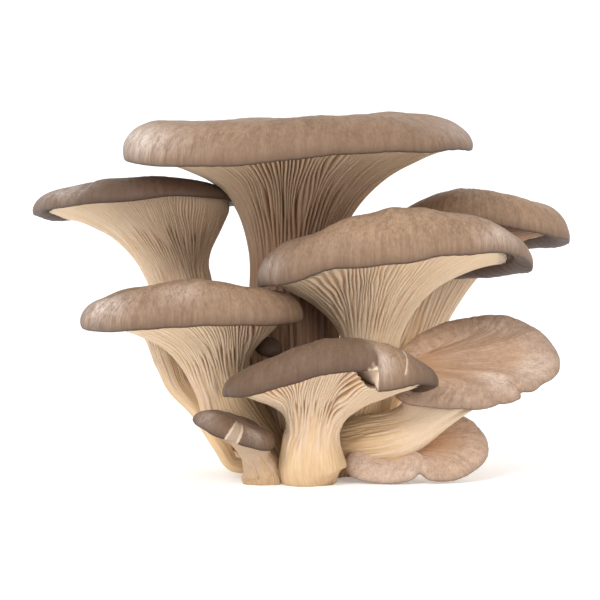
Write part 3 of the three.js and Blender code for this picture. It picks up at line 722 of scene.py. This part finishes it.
build({
    "name": "left_upper", "seed": 14, "middle": (-46, 18, 73.5), "facing": (0, 0, 1),
    "reach": (29.5, 27, 23, 22, 23, 25, 26.5, 26.2, 24.5, 24, 25.6, 28.6),
    "lift": (-1.5, -3, -5, -6, -6.8, -6.6, -4.2, -2, 0, 1.2, 2.4, 1),
    "rise": (4.8, 6, 7, 7.5, 7, 7, 6.9, 6.2, 6.3, 6, 5, 4.8),
    "shoulder": (8, 8, 8, 8, 8, 8, 9, 8.5, 8, 8, 8, 8),
    "swell": 0.8, "crown": 3, "flesh": 4,
    "lip": (1.3, 1.3, 1.3, 1.3, 2.5, 3, 2.5, 1.3, 1.3, 1.3, 1.3, 1.3),
    "stem": ((-9, 13, 5, 7), (-20, 16, 18, 7.8), (-28.8, 19, 35, 7.8), (-33.7, 20, 52, 8.2)),
    "flare": 6, "flat": (0, 0.12, 0.4, 0.6, 0.68, 0.72, 0.72, 0.72, 0.62, 0.4, 0.16, 0.02),
    "sag": 1.2, "gills": 20, "ridge": 1.9, "gillFoot": 0.7, "waves": 0.6,
    "capShade": (0.3, 0.3, 0.4, 0.45, 0.5, 0.65, 0.72, 0.5, 0.3, 0.22, 0.22, 0.26),
    "stemShade": (1, 0.82, 0.9),
    "sideShade": (0.55, 0.6, 0.7, 0.8, 0.9, 1, 1, 1, 0.85, 0.64, 0.52, 0.52),
    "grooveTone": 0.8,
    "sheen": ((0.6, 0.06, 6, 4, 0.7),),
    "creases": ((0.655, 0.012, 0.9, 12),),
}, capGrid=(360, 22, 26), stemGrid=(44, 5, 24, 52))

build({
    "name": "front", "seed": 15, "middle": (8.5, -25, 27.5), "facing": (0, 0, 1),
    "reach": (27.9, 24.5, 17, 15, 15.5, 20.5, 28.7, 26, 20.5, 19, 21, 25.4),
    "lift": (-0.5, -4, -2, 0, 0, -2, -3.3, -2.1, 1.8, 4.5, 5.2, 4.7),
    "rise": (5.6, 5.6, 6, 6.8, 7.6, 8, 7.4, 10, 10.2, 8.6, 8, 6.4),
    "shoulder": (7, 7, 7, 7, 7, 8, 9, 9, 8, 8, 8, 8),
    "swell": 0.8, "crown": 8.2, "flesh": 4.2,
    "lip": (2.5, 2, 1.2, 1.2, 1.2, 1.2, 1.2, 1.2, 1.2, 1.2, 1.2, 1.8),
    "tear": {"start": 0.842, "end": 0.86, "drop": 5.7, "setback": 1.2},
    # the last band is a painted highlight along a crease on the flap
    "scarsAndHighlights": ((0.846, 0.004, 0, 12, 0, 0.8), (0.836, 0.014, -9, 0.2, 0, 0.9),
              (0.888, 0.0024, 3.5, 12, 0.0032, 0.8)),
    "capShade": 0.38, "flapShade": 0.52, "stemShade": (0.7, 0.8, 0.86),
    "sheen": ((0.862, 0.02, 8, 4, 0.5),),
    "stem": ((5.5, -18.5, -1.5, 4.5), (3.6, -18.5, 2.5, 8.8), (3, -18.5, 9, 8.1), (3.4, -18.8, 14, 6.8)),
    "flare": 6, "flat": (0.55, 0.6, 0.7, 0.75, 0.8, 0.8, 0.8, 0.8, 0.75, 0.7, 0.6, 0.55),
    "sag": (2, 2, 2, 2, 2, 2, 2, 2, 2.4, 3.4, 3, 2), "gills": 22, "ridge": 1.3, "gillFoot": 0.8,
}, capGrid=(480, 24, 26), stemGrid=(28, 7, 26, 48))

build({
    "name": "small", "seed": 16, "middle": (-18, -23.5, 13.6), "facing": (0.2, -0.12, 1),
    "reach": (11.5, 11, 9.5, 8.5, 8, 9, 11, 10.5, 9, 8.5, 9, 11),
    "lift": (-1, -1, 0, 0.5, 1, 1.8, 2, 1.6, 0.6, 0, -0.6, -1.2),
    "rise": (4.4, 4.2, 4, 4, 4, 3.5, 3.4, 4, 5, 5, 4.8, 4.6),
    "shoulder": (5, 5, 4, 4, 4, 4, 5, 5, 5, 5, 5, 5),
    "swell": 0.4, "crown": 5, "flesh": 2.8, "lip": 0.8,
    "stem": ((-10, -18, -2, 4.8), (-10.2, -18, 3, 5.2), (-11.6, -20.2, 7.2, 3.6)),
    "flare": 1.8, "flat": 0.6, "sag": 0.8, "gills": 10, "ridge": 0.6, "gillFoot": 0.8,
    "tangle": 1.5,
    "scarsAndHighlights": ((0.745, 0.036, -1, 7, 0.006, 0.3), (0.717, 0.007, -1, 8, 0.006, 0.6),
              (0.775, 0.008, -1, 8, 0.006, 0.6)),
    "sheen": ((0.58, 0.05, 4, 3, 0.35), (0.87, 0.05, 5, 3, 0.4)),
    "capShade": 0.5, "stemShade": (0.56, 0.56, 0.66),
}, capGrid=(240, 16, 16), stemGrid=(22, 7, 18, 22))

build({
    "name": "right_upper", "seed": 17, "middle": (47.3, 33, 64), "facing": (0, 0, 1),
    "reach": (27.2, 25.5, 21.5, 20, 20.5, 21, 21.5, 21, 19, 18, 19.5, 24),
    "lift": (-3.4, -5.8, -7, -7, -5, -3, 0.5, 3, 4, 3.2, 2, -0.7),
    "rise": (10.7, 10.6, 9.8, 9.3, 8.8, 7.3, 6.1, 6.9, 8, 9, 9.6, 10.2),
    "shoulder": (10, 10, 9, 9, 10, 11, 12, 11, 10, 9, 9, 10),
    "swell": 0.8, "crown": 7.4, "flesh": 6.4,
    "lip": (4, 5, 4, 2, 1.3, 1.3, 1.3, 1.3, 1.3, 1.3, 1.3, 2),
    "lipRise": (3.4, 4, 3.2, 2, 1.8, 1.8, 1.8, 1.8, 1.8, 1.8, 1.8, 2),
    "stem": ((14, 13, 5, 6.5), (21.6, 18, 20, 7.6), (28.7, 22.5, 35, 9.1)),
    "flare": 8, "flat": 0.6, "sag": 1.2, "gills": 18, "ridge": 1.7, "gillFoot": 0.9,
    "stemShade": (1, 1, 0.15), "grooveTone": 0.5,
}, capGrid=(340, 22, 26), stemGrid=(26, 6, 22, 44))

build({
    "name": "right_fan", "seed": 18, "middle": (47, -6, 29.5), "facing": (0, -0.7, 0.72),
    "reach": (22.8, 21.9, 20.3, 18.2, 17.6, 19.3, 23, 22.5, 16.5, 14.2, 14, 17.2),
    "lift": (-0.5, 0.5, 0, -0.5, 0, 0, -1, 0, 0.5, 0, -1, 0),
    "rise": (3, 3.2, 3.2, 3.2, 3.2, 3, 2.5, 2.6, 2.8, 3, 3, 3),
    "shoulder": (7, 7, 7, 7, 7, 7, 6, 6, 6, 6, 6, 7),
    "swell": 0.5, "crown": 2.2, "flesh": 3, "lip": 1.1, "eye": (-17, 0), "folds": 0.15,
    "flush": 0.9,
    "stem": ((8, -1, 8.5, 6), (14, -5.5, 9.2, 6.4), (21, -8.5, 10.4, 7)),
    "flare": 16, "flat": (0.72, 0.6, 0.4, 0.35, 0.35, 0.35, 0.35, 0.35, 0.35, 0.42, 0.58, 0.7),
    "sag": (2.8, 2.6, 2, 2, 2, 1.6, 1.6, 2, 2.4, 2.8, 2.8, 2.8), "gills": 18, "ridge": 0.6,
    "gillFoot": 0.9,
    "notches": ((0.905, 0.012, 1.8, 0), (0.955, 0.02, 1, 0), (0.83, 0.02, 0.7, 0)),
    "grooveTone": 0.2, "stemShade": (0.85, 0.85, 0.88),
    "capShade": (0.78, 0.78, 0.78, 0.8, 0.88, 0.98, 1, 0.98, 0.86, 0.78, 0.78, 0.78),
    "sheen": ((0.87, 0.05, 9, 5, 0.55), (0.98, 0.05, 8, 6, 0.35), (0.2, 0.06, 7, 4, 0.3)),
}, capGrid=(360, 20, 34), stemGrid=(44, 5, 20, 48), capLook=paleSkin)

build({
    "name": "right_lower", "seed": 19, "middle": (32, -9, 8.7), "facing": (0.05, -0.6, 0.8),
    "reach": (18.5, 18, 15, 13, 12, 12.5, 17.5, 21.5, 17, 13.6, 14.8, 17),
    "lift": (0, 0, 0, 0, 0, 0, -1, -1.3, -0.3, 0.8, 0, 0),
    "rise": (3, 3, 3, 3, 3, 3, 2.5, 2.4, 2.6, 2.6, 3, 3),
    "shoulder": (6, 6, 6, 6, 6, 6, 5, 5, 5, 5, 6, 6),
    "swell": 0.5, "crown": -0.5, "flesh": 2.4, "lip": 1, "eye": (-12, 0), "folds": 0.08,
    "flush": 0.75,
    "stem": ((10, 8, 4.2, 4.2), (15, 6, 4.2, 4.2), (20.5, 2, 4.6, 4.2)),
    "flare": 4, "flat": 0.4, "sag": 2, "gills": 14, "ridge": 0.5, "gillFoot": 0.9,
    "notches": ((0.755, 0.018, 1.8, 0.3),), "grooveTone": 0.5,
    "sheen": ((0.6, 0.1, 7, 8, 0.4), (0.72, 0.06, 7, 8, 0.3)),
}, capGrid=(300, 18, 26), stemGrid=(24, 5, 12, 32), capLook=paleSkin)

build({
    "name": "left_hidden", "seed": 20, "middle": (-41.6, 9, 39.2), "facing": (0.32, 0.35, 0.87),
    "reach": (8.8, 8.6, 8, 7.5, 7.5, 7.5, 7.5, 7.5, 7.5, 7.5, 8, 8.6),
    "lift": 0, "rise": 2.6, "shoulder": 3.6, "swell": 0.3, "crown": 2.4, "flesh": 1.8, "lip": 1,
    "stem": ((-11, -7, 3.4, 2), (-17.8, -9, 4, 2), (-21.3, -8, 9, 2.2), (-27.4, 0, 17.6, 2.4),
             (-32.8, 4, 24, 3.4), (-35.4, 5.8, 30, 3.8)),
    "flare": 3, "flat": 0.5, "sag": 0.8, "gills": 8, "ridge": 0.8, "gillFoot": 0.85,
    "stemShade": (0.85, 0.85, 0.85), "capShade": 0.4,
}, capGrid=(200, 14, 14), stemGrid=(16, 7, 36, 20))

build({
    "name": "pin_rear", "seed": 21, "middle": (-27.2, 8.2, 50.2), "facing": (0, 0, 1),
    "reach": 2.4, "lift": 0, "rise": 2.4, "shoulder": 2, "swell": 0.2, "crown": 2.8, "flesh": 1.4,
    "lip": 0.5,
    "stem": ((-6, 5, 11, 1.8), (-17, 6.5, 28, 1.7), (-26.8, 8.2, 45, 1.4)),
    "flare": 1.5, "flat": 0.5, "sag": 0.2, "gills": 6, "ridge": 0.3, "gillFoot": 1, "capShade": 0.3,
}, capGrid=(64, 8, 8), stemGrid=(8, 4, 16, 8))

build({
    "name": "pin_inner", "seed": 22, "middle": (-8.6, -6, 34.6), "facing": (0.2, -0.5, 1),
    "reach": 3.7, "lift": 0, "rise": 3.2, "shoulder": 3, "swell": 0.3, "crown": 3.6, "flesh": 1.8,
    "lip": 0.6,
    "stem": ((-3, 0, 11, 2), (-4.5, -2, 20, 2), (-7.6, -4.6, 30, 2)),
    "flare": 1.5, "flat": 0.5, "sag": 0.2, "gills": 6, "ridge": 0.3, "gillFoot": 1, "capShade": 0.2,
}, capGrid=(80, 8, 8), stemGrid=(8, 4, 16, 8))


# The root in which the stems meet: half widths at its cut, and its share of them at heights
rootShape = {
    "reach": (19, 17, 18, 17, 16, 15, 14.5, 13, 12, 11.5, 13, 16),
    "heights": (0, 3, 8, 12.5, 14), "shares": (0.95, 1, 0.86, 0.5, 0),
    "setBack": 3, "columns": 160, "rows": 40, "shade": 0.7, "girth": 14,
}


def rootPiece(m):
    turn = np.linspace(0, 1, m["columns"] + 1)
    levels = np.arange(len(m["heights"]))
    up = np.concatenate([[0], np.linspace(0, 1, m["rows"])]) * levels[-1]
    share = np.interp(up, levels, m["shares"])
    share[0] = 0  # the first row closes the cut
    turns, heights = np.meshgrid(turn, np.interp(up, levels, m["heights"]))
    ragged = 0.05 * ripples(41, turns, heights / 10, (4, 22), 0.7)
    frayed = 0.02 * ripples(42, turns, heights / 5, (20, 60), 1)
    reach = atTurn(m["reach"], turns) * share[:, None] * (1 + ragged + frayed)
    angle = turnAround * turns
    points = np.stack([reach * np.cos(angle), m["setBack"] + reach * np.sin(angle), heights], axis=-1)
    level = 0 * turns
    tones = {
        "groove": level, "gilled": level, "up": heights / 40, "shade": level + m["shade"],
        "grain": grainOf(turns, m["girth"], heights * 0.2),
    }
    return skin("root.lump", points, tones)


settle(rootPiece(rootShape), "root", creamFlesh)
print("built root", flush=True)


# Studio: a white floor that glows a little, so that it is as pale as what is behind it, two
# soft lamps and light from all round. Places and sizes are in metres.
studio = {
    "floorTone": (0.95, 0.95, 0.95, 1), "floorGlow": 0.22, "floorReach": 12,
    "aim": (0, 0, 0.0476), "distance": 1.35, "elevation": math.radians(5), "lens": 300,
    "lampAim": (0, 0, 0.05),
}

floorPaper = bpy.data.materials.new("floor")
floorPaper.use_nodes = True
floorShader = floorPaper.node_tree.nodes["Principled BSDF"]
floorShader.inputs["Base Color"].default_value = studio["floorTone"]
floorShader.inputs["Roughness"].default_value = 0.9
floorShader.inputs["Emission Color"].default_value = (1, 1, 1, 1)
floorShader.inputs["Emission Strength"].default_value = studio["floorGlow"]

floorMesh = bpy.data.meshes.new("floor")
bm = bmesh.new()
bmesh.ops.create_grid(bm, x_segments=2, y_segments=2, size=studio["floorReach"])
bm.to_mesh(floorMesh)
bm.free()
floor = bpy.data.objects.new("floor", floorMesh)
floor.data.materials.append(floorPaper)
bpy.context.scene.collection.objects.link(floor)


def softLamp(name, place, size, power):
    light = bpy.data.lights.new(name, "AREA")
    light.shape = "DISK"
    light.size = size
    light.energy = power
    lamp = bpy.data.objects.new(name, light)
    lamp.location = place
    facing = Vector(studio["lampAim"]) - Vector(place)
    lamp.rotation_euler = facing.to_track_quat("-Z", "Y").to_euler()
    bpy.context.scene.collection.objects.link(lamp)


softLamp("key", (-0.5, -0.8, 0.6), size=0.5, power=6)
softLamp("fill", (0.7, -0.9, 0.3), size=0.7, power=3)

world = bpy.data.worlds.new("studio")
world.use_nodes = True
world.node_tree.nodes["Background"].inputs["Color"].default_value = (1, 1, 1, 1)
world.node_tree.nodes["Background"].inputs["Strength"].default_value = 1.0
bpy.context.scene.world = world
bpy.context.scene.view_settings.view_transform = "Standard"

elevation = studio["elevation"]
backwards = np.array([0, -math.cos(elevation), math.sin(elevation)])
lens = bpy.data.cameras.new("camera")
lens.lens = studio["lens"]
lens.sensor_width = 36
lens.clip_end = 20
camera = bpy.data.objects.new("camera", lens)
camera.location = np.array(studio["aim"]) + studio["distance"] * backwards
camera.rotation_euler = (math.pi / 2 - elevation, 0, 0)
bpy.context.scene.collection.objects.link(camera)
bpy.context.scene.camera = camera
print("studio ready", flush=True)
